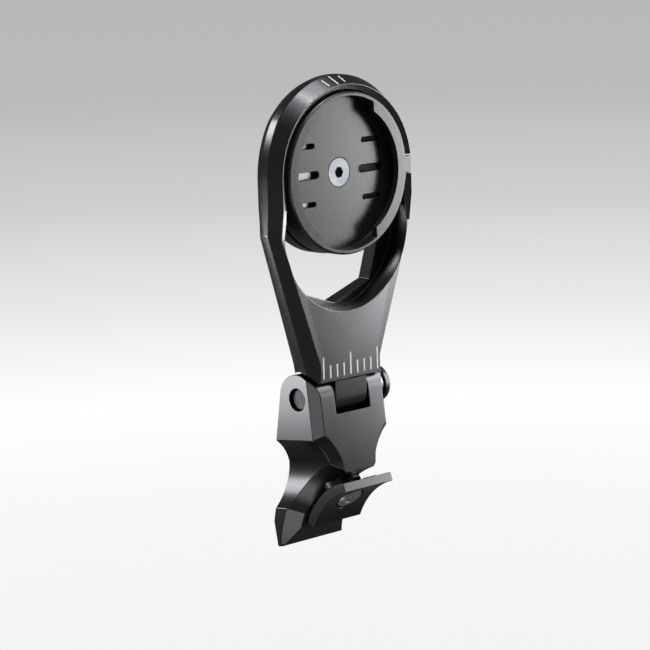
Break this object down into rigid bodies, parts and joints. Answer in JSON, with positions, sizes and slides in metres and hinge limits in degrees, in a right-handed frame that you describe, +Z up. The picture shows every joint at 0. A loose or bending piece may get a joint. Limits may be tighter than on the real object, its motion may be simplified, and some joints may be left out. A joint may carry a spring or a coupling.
{
  "type": "cycling computer mount",
  "caption": "Hinged out-front computer mount: a ring-ended arm with a twist-lock insert, a forked base and a curved clamp plate for a handlebar.",
  "frame": {"origin": "the point of the base's curved seat that the clamp bolt passes through", "axes": "+X along the handlebar, -Y towards the side the computer sits on, +Z up along the arm"},
  "size_m": [0.0374, 0.0192, 0.0953],
  "materials": {
    "anodised_black": "black anodised, fine bead blast, satin",
    "moulded_insert": "glass-filled nylon, satin",
    "bright_steel": "turned and passivated",
    "dark_steel": "blackened, turned end faces",
    "bearing_bronze": "plain bearing bronze",
    "grip_rubber": "matt rubber"
  },
  "bodies": {
    "base": {"base": "anodised_black", "hinge_barrel_nut": "dark_steel", "hinge_spring_washer": "bright_steel", "clamp_nut": "bright_steel", "clamp_spacer": "anodised_black", "seat_liner": "grip_rubber"},
    "arm": {"arm": "anodised_black", "twist_lock_insert": "moulded_insert", "insert_screw": "bright_steel", "screw_insert": "bearing_bronze", "insert_pad": "grip_rubber", "hinge_bush_left": "bearing_bronze", "hinge_bush_right": "bearing_bronze", "friction_washer_left": "bearing_bronze", "friction_washer_right": "bearing_bronze"},
    "hinge_bolt": {"hinge_bolt": "dark_steel"},
    "clamp_plate": {"clamp_plate": "anodised_black", "plate_liner": "grip_rubber", "clamp_washer": "bright_steel"},
    "clamp_bolt": {"clamp_bolt": "dark_steel", "bolt_retainer": "grip_rubber"}
  },
  "joints": [
    {"name": "arm_tilt", "type": "hinge", "parent": "base", "child": "arm", "pos_m": [0, 0.00113, 0.01855], "axis": [1, 0, 0], "range_deg": [-45, 50]},
    {"name": "hinge_bolt_turn", "type": "hinge", "parent": "base", "child": "hinge_bolt", "pos_m": [0, 0.00113, 0.01855], "axis": [1, 0, 0], "range_deg": [-90, 90]},
    {"name": "clamp_slide", "type": "slide", "parent": "base", "child": "clamp_plate", "axis": [0, -0.6691, -0.7431], "range_m": [-0.0005, 0.003]},
    {"name": "clamp_bolt_turn", "type": "hinge", "parent": "clamp_plate", "child": "clamp_bolt", "pos_m": [0, 0, 0], "axis": [0, -0.6691, -0.7431], "range_deg": [-260, 1550]}
  ],
  "couplings": [
    {"joint": "clamp_bolt_turn", "follows": "clamp_slide", "rad_per_m": 8976}
  ]
}
